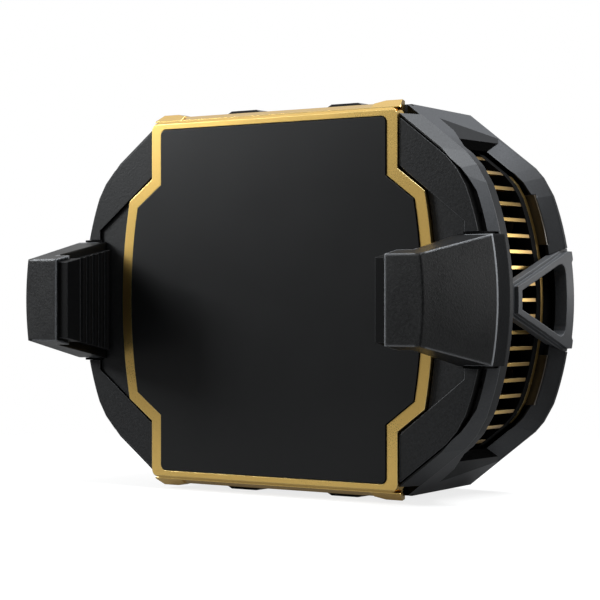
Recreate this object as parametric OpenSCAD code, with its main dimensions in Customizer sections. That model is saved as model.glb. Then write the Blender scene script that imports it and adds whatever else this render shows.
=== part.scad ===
// Clip-on phone cooler: a thermoelectric cold plate, a finned heat sink and a fan between two sprung arms.
// X is right, Y runs from the cold face back to the fan, Z is up. All sizes in millimetres.
// The origin is the centre of the cold face, which looks along -Y.

/* [Part to build] */

/* [Body outline] */
body_half_width = 39.9;
body_half_height = 31.0;
side_arc_radius = 47.0;
corner_distance = 37.6;
corner_angle = 52.9;
shoulder_radius = 15.0;
wall = 1.8;

/* [Depths, front to back] */
plate_thickness = 2.4;
plate_proud = 0.2;
cover_step = 0.25;
rail_step = 0.5;
cell_height = 3.2;
sink_base_thickness = 2.0;
fin_depth = 13.4;
fan_gap = 0.3;
flange_thickness = 1.4;
duct_depth = 5.1;
rear_thickness = 1.8;

/* [Cold plate and frame] */
frame_half_width = 24.5;
frame_margin = 1.0;
frame_side_band = 1.95;
frame_top_band = 1.3;
frame_corner_radius = 1.6;
frame_edge = 0.45;
plate_gap = 0.15;
plate_corner_radius = 0.9;
bulge_arc_radius = 89.0;
bulge_drop = 9.6;
bulge_slope = 0.735;

/* [Front covers] */
rail_cover_width = 5.3;
recess_margin = 3.6;
recess_rise = 1.6;
cover_drop = 1.8;
cover_inset = 0.1;
cover_gap = 0.2;

/* [Front shell] */
shell_margin = 2.0;
band_lead = 0.35;
band_depth = 3.8;
parting_gap = 0.2;
band_side_front = -0.2;
band_side_back = 1.4;
band_corner_front = 0.35;
band_corner_back = 1.3;
dip_rise = 4.6;
dip_slope_length = 5.0;
channel_floor = 1.3;
lap = 0.7;

/* [Trims] */
trim_lead = 0.8;
trim_margin = 0.1;
trim_lump = 0.45;
trim_lump_length = 5.4;
trim_back_margin = 0.4;

/* [Thermoelectric stack] */
cell_size = 30.0;
ceramic_thickness = 0.7;
pellet_rows = 8;
pellet_size = 1.4;
gasket_gap = 0.1;

/* [Heat sink] */
fin_pitch = 2.55;
fin_thickness = 0.55;
sink_inset = 2.4;

/* [Fan] */
duct_wall = 1.7;
skirt_inset = 3.0;
skirt_wall = 1.0;
rail_depth = 0.8;
rail_half_height = 20.0;
blade_count = 9;
blade_tilt = 35;
blade_bend = 8.0;
blade_thickness = 0.8;
blade_half_chord = 3.7;
tip_gap = 0.9;
hub_radius = 9.2;
hub_wall = 0.9;
magnet_thickness = 0.7;
stator_gap = 0.4;
stator_arms = 6;
stator_core = 3.8;
sleeve_radius = 2.5;
sleeve_setback = 1.7;
shaft_radius = 1.0;
shaft_clearance = 0.03;
spoke_width = 2.2;

/* [Rear housing] */
rim_depth = 2.5;
ring_depth = 5.2;
ring_lead = 2.0;
ring_bend = 37.0;
ring_bevel = 1.2;
ring_bevel_depth = 3.6;
housing_side_front = 1.2;
housing_corner_front = 1.1;
housing_corner_back = -0.2;
back_chamfer = 0.8;
window_start = 24.5;
window_inner = 27.3;
window_end_slope = 1.48;
window_bend = 28.0;
window_shoulder = 32.3;
leg_rise = 4.5;
leg_shoulder = 4.1;
leg_depth = 7.0;
runner_inner = 6.0;
runner_outer = 14.3;
runner_rise = 0.8;
column_radius = 2.4;
column_bore = 1.9;
fan_post_radius = 2.0;

/* [Light bars] */
lens_top = 17.0;
lens_bottom = 8.9;
lens_inset = 1.2;
lens_width = 1.7;
lens_depth = 1.2;
lens_proud = 0.2;

/* [Struts] */
strut_start = 4.8;
strut_narrow = 2.1;
strut_wide = 7.9;
strut_bar = 1.0;
strut_proud = 0.3;
strut_flange = 0.5;
strut_notch = 0.5;

/* [Rear grille] */
grille_overlap = 1.3;
grille_rim = 1.8;
grille_hub = 10.0;
grille_bar = 1.0;
grille_spoke = 1.4;
grille_proud = 0.6;
grille_ring_count = 4;
grille_spoke_count = 6;
badge_radius = 8.4;
badge_thickness = 0.5;

/* [Arms] */
arm_travel = 10.0;
jaw_depth = 12.2;
lip_thickness = 3.3;
lip_reach = 4.9;
lip_cap = 2.0;
lip_cap_drop = 0.6;
lip_half_height = 6.75;
lip_round = 1.3;
lip_pad_thickness = 0.5;
arm_inset = 4.9;
arm_proud = 2.4;
arm_draft = 3.6;
arm_arc_shift = 8.6;
arm_base_half_height = 10.0;
arm_notch_gap = 0.4;
tongue_gap = 0.15;
head_length = 2.0;
head_gap = 0.8;
pocket_wall = 1.7;
window_wall = 1.0;
head_overhang = 3.1;
spring_offset = 1.5;
spring_radius = 0.8;
spring_wire = 0.3;
spring_closed = 3.9;
pad_thickness = 1.2;
pad_margin = 1.3;
rib_radius = 0.55;
rib_pitch = 1.55;

/* [Power and control] */
socket_width = 8.94;
socket_thickness = 3.26;
socket_shell = 0.3;
socket_depth = 6.4;
socket_setback = 7.4;
socket_mouth_gap = 0.3;
tongue_half_width = 3.3;
tongue_thickness = 0.7;
board_drop = 2.6;
board_thickness = 1.0;

/* [Screws] */
screw_radius = 0.95;
screw_head_radius = 1.7;
screw_head_height = 1.2;
case_screw_margin = 4.5;
case_screw_corner = 4.4;
case_screw_seat = 8.4;
plate_screw_x = 12.0;
plate_screw_margin = 1.6;
fan_screw_inset = 8.4;
fan_screw_z = 12.0;

/* [Hidden] */
$fn = 96;
clear = 0.05;
eps = 0.01;
far = 4 * body_half_width;

// Depths
plate_back = plate_thickness;
frame_front = plate_proud;
cover_front = frame_front + cover_step;
rail_cover_front = cover_front + rail_step;
cover_back = plate_back - 2 * clear;
shell_back = plate_back + cell_height;
channel_back = shell_back - channel_floor;
band_front = cover_front + band_lead;
band_back = band_front + band_depth;
sink_base_back = shell_back + sink_base_thickness;
fins_back = sink_base_back + fin_depth;
flange_front = fins_back + fan_gap;
flange_back = flange_front + flange_thickness;
duct_back = flange_back + duct_depth;
housing_front = band_back + parting_gap;
housing_back = duct_back + rear_thickness;
rim_back = housing_front + rim_depth;
ring_front = housing_back - ring_depth;
grille_back = housing_back + grille_proud;
hub_front = flange_back + 0.4;
hub_back = duct_back - 0.5;
sleeve_back = hub_back - sleeve_setback;
fan_mid = (hub_front + hub_back) / 2;

// Outline of the body
side_arc_shift = side_arc_radius - body_half_width;
shoulder_angles = [corner_angle - 10, corner_angle - 22];
shoulder_reach = corner_distance - shoulder_radius;
shoulder_x = shoulder_reach * cos(corner_angle) + side_arc_shift;
shoulder_z = shoulder_reach * sin(corner_angle);
shoulder_along = shoulder_x * sin(corner_angle) - shoulder_z * cos(corner_angle);
shoulder_span = side_arc_radius - shoulder_radius;
shoulder_slide = sqrt(shoulder_along * shoulder_along - shoulder_x * shoulder_x - shoulder_z * shoulder_z
    + shoulder_span * shoulder_span) - shoulder_along;
shoulder_centre = [
    shoulder_x - side_arc_shift + shoulder_slide * sin(corner_angle),
    shoulder_z - shoulder_slide * cos(corner_angle)
];
shoulder_first = shoulder_distance(shoulder_angles[0]);
shoulder_second = shoulder_distance(shoulder_angles[1]);

// Places that follow from the sizes above
frame_half_height = body_half_height - frame_margin;
shell_half_height = body_half_height - shell_margin;
cover_half_height = frame_half_height - cover_drop;
bulge_start = frame_half_height - bulge_drop;
recess_reach = body_half_width - recess_margin;
bulge_half_width = recess_reach - rail_cover_width;
arm_notch_half = arm_base_half_height + arm_notch_gap;
recess_half_height = arm_notch_half + recess_rise;
dip_inner = recess_half_height + dip_rise;
dip_outer = dip_inner + dip_slope_length;
tongue_half_height = arm_base_half_height;
head_half_height = tongue_half_height + head_overhang;
spring_height = tongue_half_height + spring_offset;
pocket_outer = body_half_width - pocket_wall;
head_outer = pocket_outer - spring_closed - arm_travel;
head_inner = head_outer - head_length;
head_pocket_inner = head_inner - head_gap;
case_screw_z = body_half_height - case_screw_margin;
case_screw_x = (corner_distance - case_screw_corner - case_screw_z * sin(corner_angle)) / cos(corner_angle);
sink_half_height = case_screw_z - column_radius - 0.5;
plate_screw_z = sink_half_height - plate_screw_margin;
cell_window_x = head_pocket_inner - window_wall;
cell_window_z = plate_screw_z - screw_radius - 0.55;
fin_count = 2 * floor((sink_half_height - fin_thickness / 2) / fin_pitch) + 1;
fan_screw_x = body_half_width - fan_screw_inset;
fan_screw_reach = sqrt(fan_screw_x * fan_screw_x + fan_screw_z * fan_screw_z);
duct_outer = min(body_half_height - wall - 0.2, fan_screw_reach - fan_post_radius - 0.4);
duct_radius = duct_outer - duct_wall;
grille_radius = duct_radius + grille_overlap;
blade_tip_radius = duct_radius - tip_gap;
magnet_radius = hub_radius - hub_wall;
stator_radius = magnet_radius - magnet_thickness - stator_gap;
fan_base_radius = hub_radius + stator_gap;
socket_y = shell_back + socket_setback;
socket_mid = socket_y + socket_thickness / 2;
board_top = body_half_height - wall - board_drop;
arm_inner = body_half_width - arm_inset;
arm_outer_back = body_half_width + arm_proud;
arm_outer_front = arm_outer_back - arm_draft;
arm_base = rail_cover_front - cover_gap;
lip_under = -jaw_depth;
lip_front = lip_under - lip_thickness;
lip_tip = arm_inner - lip_reach;
lip_face_start = lip_tip + lip_cap;
pad_face = arm_inner - pad_thickness;
tongue_front = cover_back + tongue_gap;
tongue_back = channel_back - 2 * clear;
trim_gap_half = frame_half_width - frame_margin;

// Helpers

function shoulder_distance(angle) =
    shoulder_centre[0] * cos(angle) + shoulder_centre[1] * sin(angle) + shoulder_radius;

module along_y(y0, y1) {
    translate([0, y1, 0]) rotate([90, 0, 0]) linear_extrude(height = y1 - y0) children();
}

module along_x(x0, x1) {
    translate([x0, 0, 0]) rotate([90, 0, 90]) linear_extrude(height = x1 - x0) children();
}

module along_z(z0, z1) {
    translate([0, 0, z0]) linear_extrude(height = z1 - z0) children();
}

module round_bar(x, z, r, y0, y1) {
    translate([x, y0, z]) rotate([-90, 0, 0]) cylinder(r = r, h = y1 - y0);
}

module bore(x, z, r) {
    round_bar(x, z, r, -far, far);
}

module block(x0, x1, y0, y1, z0, z1) {
    translate([x0, y0, z0]) cube([x1 - x0, y1 - y0, z1 - z0]);
}

module both_sides() {
    children();
    mirror([1, 0, 0]) children();
}

module both_ends() {
    children();
    mirror([0, 0, 1]) children();
}

module four_corners() {
    both_sides() both_ends() children();
}

// Outlines

module slab(angle, distance) {
    rotate(angle) square([2 * distance, 2 * far], center = true);
}

// Two side arcs, a flat on each corner, and two small flats that round each shoulder.
module body_outline(side, corner, half_height) {
    shoulder = (side + corner) / 2;
    intersection() {
        square([2 * far, 2 * half_height], center = true);
        translate([-side_arc_shift, 0]) circle(r = side_arc_radius + side);
        translate([side_arc_shift, 0]) circle(r = side_arc_radius + side);
        slab(corner_angle, corner_distance + corner);
        slab(-corner_angle, corner_distance + corner);
        slab(shoulder_angles[0], shoulder_first + shoulder);
        slab(-shoulder_angles[0], shoulder_first + shoulder);
        slab(shoulder_angles[1], shoulder_second + shoulder);
        slab(-shoulder_angles[1], shoulder_second + shoulder);
    }
}

module inset_outline(inset) {
    body_outline(-inset, -inset, body_half_height - inset);
}

// One solid with the body's outline that draws in or flares between two depths.
module tapered_body(y0, y1, side0, side1, corner0, corner1, half0, half1) {
    shoulder0 = (side0 + corner0) / 2;
    shoulder1 = (side1 + corner1) / 2;
    intersection() {
        wedge(90, y0, y1, half0, half1);
        side_cone(-side_arc_shift, y0, y1, side_arc_radius + side0, side_arc_radius + side1);
        side_cone(side_arc_shift, y0, y1, side_arc_radius + side0, side_arc_radius + side1);
        wedge(corner_angle, y0, y1, corner_distance + corner0, corner_distance + corner1);
        wedge(-corner_angle, y0, y1, corner_distance + corner0, corner_distance + corner1);
        wedge(shoulder_angles[0], y0, y1, shoulder_first + shoulder0, shoulder_first + shoulder1);
        wedge(-shoulder_angles[0], y0, y1, shoulder_first + shoulder0, shoulder_first + shoulder1);
        wedge(shoulder_angles[1], y0, y1, shoulder_second + shoulder0, shoulder_second + shoulder1);
        wedge(-shoulder_angles[1], y0, y1, shoulder_second + shoulder0, shoulder_second + shoulder1);
    }
}

module side_cone(x, y0, y1, r0, r1) {
    translate([x, y0, 0]) rotate([-90, 0, 0]) cylinder(r1 = r0, r2 = r1, h = y1 - y0);
}

module wedge(angle, y0, y1, d0, d1) {
    rotate([0, -angle, 0])
        along_z(-far, far)
            polygon([[-d0, y0], [d0, y0], [d1, y1], [-d1, y1]]);
}

module rounded_rectangle(hx, hy, r) {
    square([2 * (hx - r), 2 * hy], center = true);
    square([2 * hx, 2 * (hy - r)], center = true);
    for (sx = [-1, 1], sy = [-1, 1])
        translate([sx * (hx - r), sy * (hy - r)]) circle(r = r);
}

// A solid of the frame's outline, drawn in by one amount at the sides and another at the top and bottom.
module frame_block(y0, y1, dx, dz, r) {
    along_y(y0, y1) rounded_rectangle(frame_half_width - dx, frame_half_height - dz, r);
    along_y(y0, y1) bulge_outline(dx);
}

// The bulge of the frame's sides, between two arcs and four slanted edges.
module bulge_outline(dx) {
    drop = dx * (sqrt(1 + bulge_slope * bulge_slope) - bulge_slope);
    reach = bulge_half_width - frame_half_width + frame_side_band;
    root = frame_half_width / 4;
    edge = frame_half_width - dx;
    top = bulge_start - drop;
    intersection() {
        polygon([
            [edge - root, top + root * bulge_slope], [edge + reach, top - reach * bulge_slope],
            [edge + reach, reach * bulge_slope - top], [edge - root, -top - root * bulge_slope],
            [root - edge, -top - root * bulge_slope], [-edge - reach, reach * bulge_slope - top],
            [-edge - reach, top - reach * bulge_slope], [root - edge, top + root * bulge_slope]
        ]);
        translate([bulge_half_width - bulge_arc_radius, 0]) circle(r = bulge_arc_radius - dx);
        translate([bulge_arc_radius - bulge_half_width, 0]) circle(r = bulge_arc_radius - dx);
    }
}

// Front pieces

module cold_plate() {
    tap_start = plate_back - 1.4;
    color("#2b2d30") difference() {
        frame_block(0, plate_back, frame_side_band + plate_gap, frame_top_band + plate_gap,
            plate_corner_radius);
        four_corners()
            round_bar(plate_screw_x, plate_screw_z, screw_radius + clear / 2, tap_start, far);
    }
}

module gold_frame() {
    color("#d9ad52") difference() {
        frame_block(frame_front, plate_back, 0, 0, frame_corner_radius);
        frame_block(-far, far, frame_side_band, frame_top_band, plate_corner_radius + plate_gap);
        both_ends()
            along_x(-far, far)
                polygon([
                    [frame_front - frame_edge, frame_half_height - 2 * frame_edge],
                    [frame_front + 2 * frame_edge, frame_half_height + frame_edge],
                    [frame_front - frame_edge, frame_half_height + frame_edge]
                ]);
    }
}

module recess_outline(grow) {
    run = recess_reach - frame_half_width + frame_side_band * 2;
    polygon([
        [recess_reach - run, recess_half_height + run * 0.77 + grow],
        [recess_reach + grow, recess_half_height + grow],
        [recess_reach + grow, -recess_half_height - grow],
        [recess_reach - run, -recess_half_height - run * 0.77 - grow]
    ]);
}

module frame_hole() {
    frame_block(-far, far, -cover_gap, -cover_gap, frame_corner_radius);
}

// The upper right quarter of the front cover.
module cover_shape() {
    difference() {
        along_y(cover_front, cover_back) intersection() {
            body_outline(-cover_inset, -cover_inset, cover_half_height);
            translate([frame_half_width / 2, 0]) square([far, far]);
        }
        frame_hole();
        along_y(-far, far) recess_outline(0);
        block(recess_reach - 1, far, -far, far, -arm_notch_half, arm_notch_half);
    }
}

module left_upper_cover() {
    color("#4a4c50") mirror([1, 0, 0]) cover_shape();
}

module left_lower_cover() {
    color("#4a4c50") mirror([1, 0, 0]) mirror([0, 0, 1]) cover_shape();
}

module right_upper_cover() {
    color("#4a4c50") cover_shape();
}

module right_lower_cover() {
    color("#4a4c50") mirror([0, 0, 1]) cover_shape();
}

module right_rail_cover_shape() {
    difference() {
        along_y(rail_cover_front, cover_back) intersection() {
            recess_outline(-clear);
            body_outline(-cover_inset, -cover_inset, cover_half_height);
        }
        frame_hole();
    }
}

module left_rail_cover() {
    color("#303236") mirror([1, 0, 0]) right_rail_cover_shape();
}

module right_rail_cover() {
    color("#303236") right_rail_cover_shape();
}

// The light band round the covers and the tray behind them, in one piece.
module front_shell() {
    pocket = clear;
    color("#55585c") difference() {
        union() {
            tapered_body(band_front, band_back, band_side_front, band_side_back,
                band_corner_front, band_corner_back, shell_half_height, shell_half_height);
            along_y(band_back - eps, shell_back) body_outline(-lap, -lap, shell_half_height);
        }
        // Room for the covers and the frame in front of the floor.
        along_y(-far, plate_back) body_outline(pocket, pocket, shell_half_height + far);
        // The band's edge dips at the sides.
        both_sides()
            along_x(window_start, far)
                polygon([
                    [-far, dip_outer], [band_front, dip_outer], [plate_back, dip_inner],
                    [plate_back, -dip_inner], [band_front, -dip_outer], [-far, -dip_outer]
                ]);
        // The window of the thermoelectric cell.
        block(-cell_window_x, cell_window_x, -far, far, -cell_window_z, cell_window_z);
        // The channels of the arms, with the pockets of their cross heads and springs.
        both_sides() {
            block(head_pocket_inner, pocket_outer, -far, channel_back,
                -head_half_height - cover_gap, head_half_height + cover_gap);
            block(head_pocket_inner, far, -far, channel_back, -arm_notch_half, arm_notch_half);
        }
        four_corners() {
            bore(plate_screw_x, plate_screw_z, screw_radius + 0.35);
            round_bar(case_screw_x, case_screw_z, screw_radius + clear / 2, plate_back + 0.8, far);
        }
    }
}

// The trim lies on the frame's edge and hooks down behind it onto the shell.
module trim_section(top) {
    seat = frame_half_height;
    hook = plate_back + clear;
    start = frame_front + trim_lead;
    end = shell_back - trim_back_margin;
    polygon([
        [start, seat], [start, seat + 0.15], [plate_back + 0.4, top], [end, top], [end, shell_half_height],
        [hook, shell_half_height], [hook, seat]
    ]);
}

// A bar with a facetted lump at each end; the ends slant back towards the middle.
module trim_shape() {
    top = body_half_height - trim_margin;
    outer = frame_half_width - trim_margin;
    inner = outer - trim_lump_length;
    slant = 1.8;
    along_x(inner - outer, outer - inner) trim_section(top);
    both_sides()
        intersection() {
            union() {
                along_x(0, outer) trim_section(top);
                intersection() {
                    along_x(inner, outer) trim_section(top + trim_lump);
                    along_y(-far, far)
                        polygon([
                            [inner, 0], [inner, top], [inner + slant, top + trim_lump],
                            [outer - 0.6, top + trim_lump], [outer, top], [outer, 0]
                        ]);
                }
            }
            along_z(0, far)
                polygon([
                    [0, -far], [outer, -far], [outer, frame_front + trim_lead + 0.4],
                    [outer - slant, shell_back], [0, shell_back]
                ]);
        }
}

module top_trim() {
    color("#d9ad52") trim_shape();
}

module bottom_trim() {
    color("#d9ad52") mirror([0, 0, 1]) trim_shape();
}

// Thermoelectric stack

module ceramic(y0) {
    color("#e8e6e0")
        block(-cell_size / 2, cell_size / 2, y0, y0 + ceramic_thickness, -cell_size / 2, cell_size / 2);
}

module cold_ceramic() {
    ceramic(plate_back);
}

module hot_ceramic() {
    ceramic(shell_back - ceramic_thickness);
}

module cell_pellets() {
    pitch = cell_size / pellet_rows;
    color("#6d6f73")
        for (i = [0 : pellet_rows - 1], j = [0 : pellet_rows - 1])
            translate([(i + 0.5) * pitch - cell_size / 2, 0, (j + 0.5) * pitch - cell_size / 2])
                block(-pellet_size / 2, pellet_size / 2, plate_back + ceramic_thickness,
                    shell_back - ceramic_thickness, -pellet_size / 2, pellet_size / 2);
}

module insulation_gasket() {
    outer_x = cell_window_x - gasket_gap;
    outer_z = cell_window_z - gasket_gap;
    inner = cell_size / 2 + cover_gap;
    color("#1c1d1f") difference() {
        block(-outer_x, outer_x, plate_back, shell_back, -outer_z, outer_z);
        block(-inner, inner, -far, far, -inner, inner);
    }
}

// Heat sink

module sink_outline() {
    body_outline(-sink_inset, -sink_inset, sink_half_height);
}

module heatsink_base() {
    color("#caa04a") difference() {
        along_y(shell_back, sink_base_back) sink_outline();
        four_corners() {
            bore(plate_screw_x, plate_screw_z, screw_radius + 0.15);
            round_bar(plate_screw_x, plate_screw_z, screw_head_radius + 0.1,
                sink_base_back - screw_head_height, far);
        }
    }
}

module heatsink_fins() {
    color("#d9ad52") intersection() {
        along_y(sink_base_back, fins_back) sink_outline();
        union() {
            for (i = [0 : fin_count - 1])
                translate([0, 0, (i - (fin_count - 1) / 2) * fin_pitch])
                    block(-far, far, -far, far, -fin_thickness / 2, fin_thickness / 2);
        }
    }
}

// Fan

module fan_frame() {
    base_back = flange_back - 0.2;
    color("#2a2b2e") difference() {
        union() {
            difference() {
                union() {
                    along_y(flange_front, flange_back) inset_outline(sink_inset);
                    round_bar(0, 0, duct_outer, flange_front, duct_back);
                    // A skirt that follows the body and closes the fan from the side.
                    along_y(flange_front, duct_back) difference() {
                        inset_outline(skirt_inset);
                        inset_outline(skirt_inset + skirt_wall);
                    }
                }
                bore(0, 0, duct_radius);
                // Clear of the long screw columns of the housing.
                four_corners() bore(case_screw_x, case_screw_z, column_radius + cover_gap);
            }
            round_bar(0, 0, fan_base_radius, flange_front, base_back);
            for (i = [0 : 3])
                rotate([0, 45 + 90 * i, 0])
                    block(fan_base_radius - 1, duct_radius + duct_wall / 2, flange_front, base_back,
                        -spoke_width / 2, spoke_width / 2);
        }
        bore(0, 0, sleeve_radius);
        four_corners() {
            bore(fan_screw_x, fan_screw_z, screw_radius + 0.15);
            round_bar(fan_screw_x, fan_screw_z, screw_head_radius + 0.1, -far, flange_front + 1.0);
        }
    }
}

// A thin gold rail on the skirt, one length on each side.
module fan_trim() {
    color("#d9ad52")
        both_sides()
            along_y(flange_back, flange_back + rail_depth) intersection() {
                difference() {
                    inset_outline(sink_inset);
                    inset_outline(skirt_inset);
                }
                translate([0, -rail_half_height]) square([far, 2 * rail_half_height]);
            }
}

module bearing_sleeve() {
    color("#b08d57") difference() {
        round_bar(0, 0, sleeve_radius, flange_front, sleeve_back);
        bore(0, 0, shaft_radius + shaft_clearance);
    }
}

module motor_stator() {
    front = hub_front + 0.2;
    back = sleeve_back - 0.8;
    shoe = stator_radius - 1.4;
    color("#8a5a2b") difference() {
        union() {
            round_bar(0, 0, stator_core, flange_back - 0.2, sleeve_back - 0.4);
            for (i = [0 : stator_arms - 1])
                rotate([0, i * 360 / stator_arms, 0]) {
                    block(sleeve_radius + 0.3, shoe + 0.6, front, back, -0.9, 0.9);
                    intersection() {
                        round_bar(0, 0, stator_radius, front, back);
                        block(shoe, stator_radius + 1, front, back, -2.6, 2.6);
                    }
                }
        }
        bore(0, 0, sleeve_radius);
    }
}

module rotor_magnet() {
    color("#3a3a3c") difference() {
        round_bar(0, 0, magnet_radius, hub_front + 0.2, sleeve_back);
        bore(0, 0, magnet_radius - magnet_thickness);
    }
}

module fan_shaft() {
    color("#c9ccd0") round_bar(0, 0, shaft_radius, flange_front + 0.2, hub_back - 0.5);
}

// One cambered blade, a slice of a tube whose axis is the blade's radius.
module blade() {
    sink = sqrt(blade_bend * blade_bend - blade_half_chord * blade_half_chord);
    translate([0, fan_mid, 0]) rotate([blade_tilt, 0, 0]) intersection() {
        translate([0, -sink, 0]) rotate([0, 90, 0]) difference() {
            cylinder(r = blade_bend, h = far);
            translate([0, 0, -1]) cylinder(r = blade_bend - blade_thickness, h = far + 2);
        }
        block(hub_radius - 0.6, far, -1.2, blade_bend, -blade_half_chord, blade_half_chord);
    }
}

module impeller() {
    cap = 1.2;
    color("#3b3d41") difference() {
        union() {
            difference() {
                round_bar(0, 0, hub_radius, hub_front, hub_back);
                round_bar(0, 0, magnet_radius, -far, hub_back - cap);
            }
            round_bar(0, 0, shaft_radius + 1.4, sleeve_back + 0.3, hub_back - 0.2);
            intersection() {
                round_bar(0, 0, blade_tip_radius, hub_front, hub_back - 0.1);
                union() {
                    for (i = [0 : blade_count - 1])
                        rotate([0, i * 360 / blade_count, 0]) blade();
                }
            }
        }
        round_bar(0, 0, shaft_radius + eps, -far, hub_back - 0.5);
    }
}

// Rear housing

// The side of the body beyond a window's ends, which slope in towards the fins.
module window_side() {
    outer_z = (corner_distance + housing_corner_front - window_start * cos(corner_angle)) / sin(corner_angle);
    inner_z = outer_z - (window_inner - window_start) * window_end_slope;
    polygon([
        [far, far], [window_start, far], [window_start, outer_z], [window_inner, inner_z],
        [window_inner, -inner_z], [window_start, -outer_z], [window_start, -far], [far, -far]
    ]);
}

module window_cut() {
    intersection() {
        along_z(-far, far)
            polygon([
                [window_start, rim_back + leg_rise], [window_bend, rim_back + leg_shoulder],
                [window_shoulder, rim_back], [far, rim_back], [far, ring_front], [ring_bend, ring_front],
                [window_inner, ring_front - ring_lead], [window_start, ring_front - ring_lead]
            ]);
        along_y(-far, far) window_side();
    }
}

// What the broad bevel on the ring's front edge takes away along a window.
module ring_bevel_cut() {
    front = ring_front - ring_lead - 1;
    back = ring_front + ring_bevel_depth;
    inset = ring_bevel * (back - front) / ring_bevel_depth;
    difference() {
        along_y(front, back) window_side();
        tapered_body(front - eps, back + eps, -inset, 0, housing_corner_back - inset, housing_corner_back,
            body_half_height - inset, body_half_height);
    }
}

// A trapezoid that widens to the back, with a shallow step in its back edge.
module strut_outline(grow) {
    start = shell_back + strut_start - grow;
    narrow = strut_narrow + grow;
    wide = strut_wide + grow;
    knee = housing_back - 1.3;
    notch = strut_wide - 1.3;
    polygon([
        [start, narrow], [knee, wide], [housing_back, wide], [housing_back, notch],
        [housing_back - strut_notch, notch - strut_notch], [housing_back - strut_notch, strut_notch - notch],
        [housing_back, -notch], [housing_back, -wide], [knee, -wide], [start, -narrow]
    ]);
}

module strut_seat() {
    knee = housing_back - 1.3;
    start = shell_back + strut_start - strut_flange - clear;
    narrow = strut_narrow + strut_flange + clear;
    wide = strut_wide + strut_flange + clear;
    polygon([[start, narrow], [knee, wide], [far, wide], [far, -wide], [knee, -wide], [start, -narrow]]);
}

module lens_outline(gap) {
    difference() {
        inset_outline(lens_inset - gap);
        inset_outline(lens_inset + lens_width + gap);
    }
}

module lens_stretch(gap) {
    both_ends()
        block(window_start, far, -far, far, lens_bottom - gap, lens_top + gap);
}

module rear_housing() {
    top = body_half_height;
    edge = housing_back - back_chamfer;
    color("#5a5d61") difference() {
        union() {
            difference() {
                union() {
                    tapered_body(housing_front, edge, housing_side_front, 0,
                        housing_corner_front, housing_corner_back, top, top);
                    tapered_body(edge - eps, housing_back, 0, -back_chamfer,
                        housing_corner_back, housing_corner_back - back_chamfer, top, top - back_chamfer);
                    // Raised runners on the top and bottom; the body stands on the lower pair.
                    four_corners()
                        along_y(leg_depth - 0.5, housing_back - 1.2)
                            polygon([
                                [runner_inner, top - 1], [runner_inner, top],
                                [runner_inner + 2 * runner_rise, top + runner_rise],
                                [runner_outer - 2 * runner_rise, top + runner_rise],
                                [runner_outer, top], [runner_outer, top - 1]
                            ]);
                }
                along_y(-far, duct_back) inset_outline(wall);
                // The lap over the back of the front shell.
                along_y(-far, shell_back + clear)
                    body_outline(-lap + clear, -lap + clear, shell_half_height + 2 * clear);
                bore(0, 0, grille_radius + 0.1);
                both_sides() {
                    window_cut();
                    ring_bevel_cut();
                }
                // A dark gap between the trim and the housing.
                both_ends()
                    block(-trim_gap_half, trim_gap_half, -far, leg_depth, shell_half_height, far);
            }
            // Columns for the long case screws.
            four_corners() round_bar(case_screw_x, case_screw_z, column_radius, shell_back, duct_back + 0.2);
            // Posts that carry the fan.
            four_corners() round_bar(fan_screw_x, fan_screw_z, fan_post_radius, flange_back, duct_back + 0.2);
        }
        four_corners() {
            bore(case_screw_x, case_screw_z, screw_radius + clear);
            round_bar(case_screw_x, case_screw_z, column_bore, shell_back + case_screw_seat, far);
            round_bar(fan_screw_x, fan_screw_z, screw_radius + clear / 2, -far, duct_back - rear_thickness);
        }
        // The seats of the side struts.
        both_sides()
            intersection() {
                along_x(window_start, far) strut_seat();
                difference() {
                    block(window_start, far, flange_front, far, -far, far);
                    along_y(-far, far) inset_outline(wall);
                }
            }
        // The seats of the light bars.
        both_sides()
            intersection() {
                along_y(ring_front - 1, ring_front - lens_proud + lens_depth) lens_outline(clear);
                lens_stretch(clear);
            }
        // The mouth of the power socket.
        block(-socket_width / 2 - socket_mouth_gap, socket_width / 2 + socket_mouth_gap,
            socket_y - socket_mouth_gap, socket_y + socket_thickness + socket_mouth_gap, board_top, far);
    }
}

module right_lens_shape() {
    front = ring_front - lens_proud;
    intersection() {
        along_y(front, front + lens_depth) lens_outline(0);
        lens_stretch(0);
    }
}

module left_lenses() {
    color("#3a3226") mirror([1, 0, 0]) right_lens_shape();
}

module right_lenses() {
    color("#3a3226") right_lens_shape();
}

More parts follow.
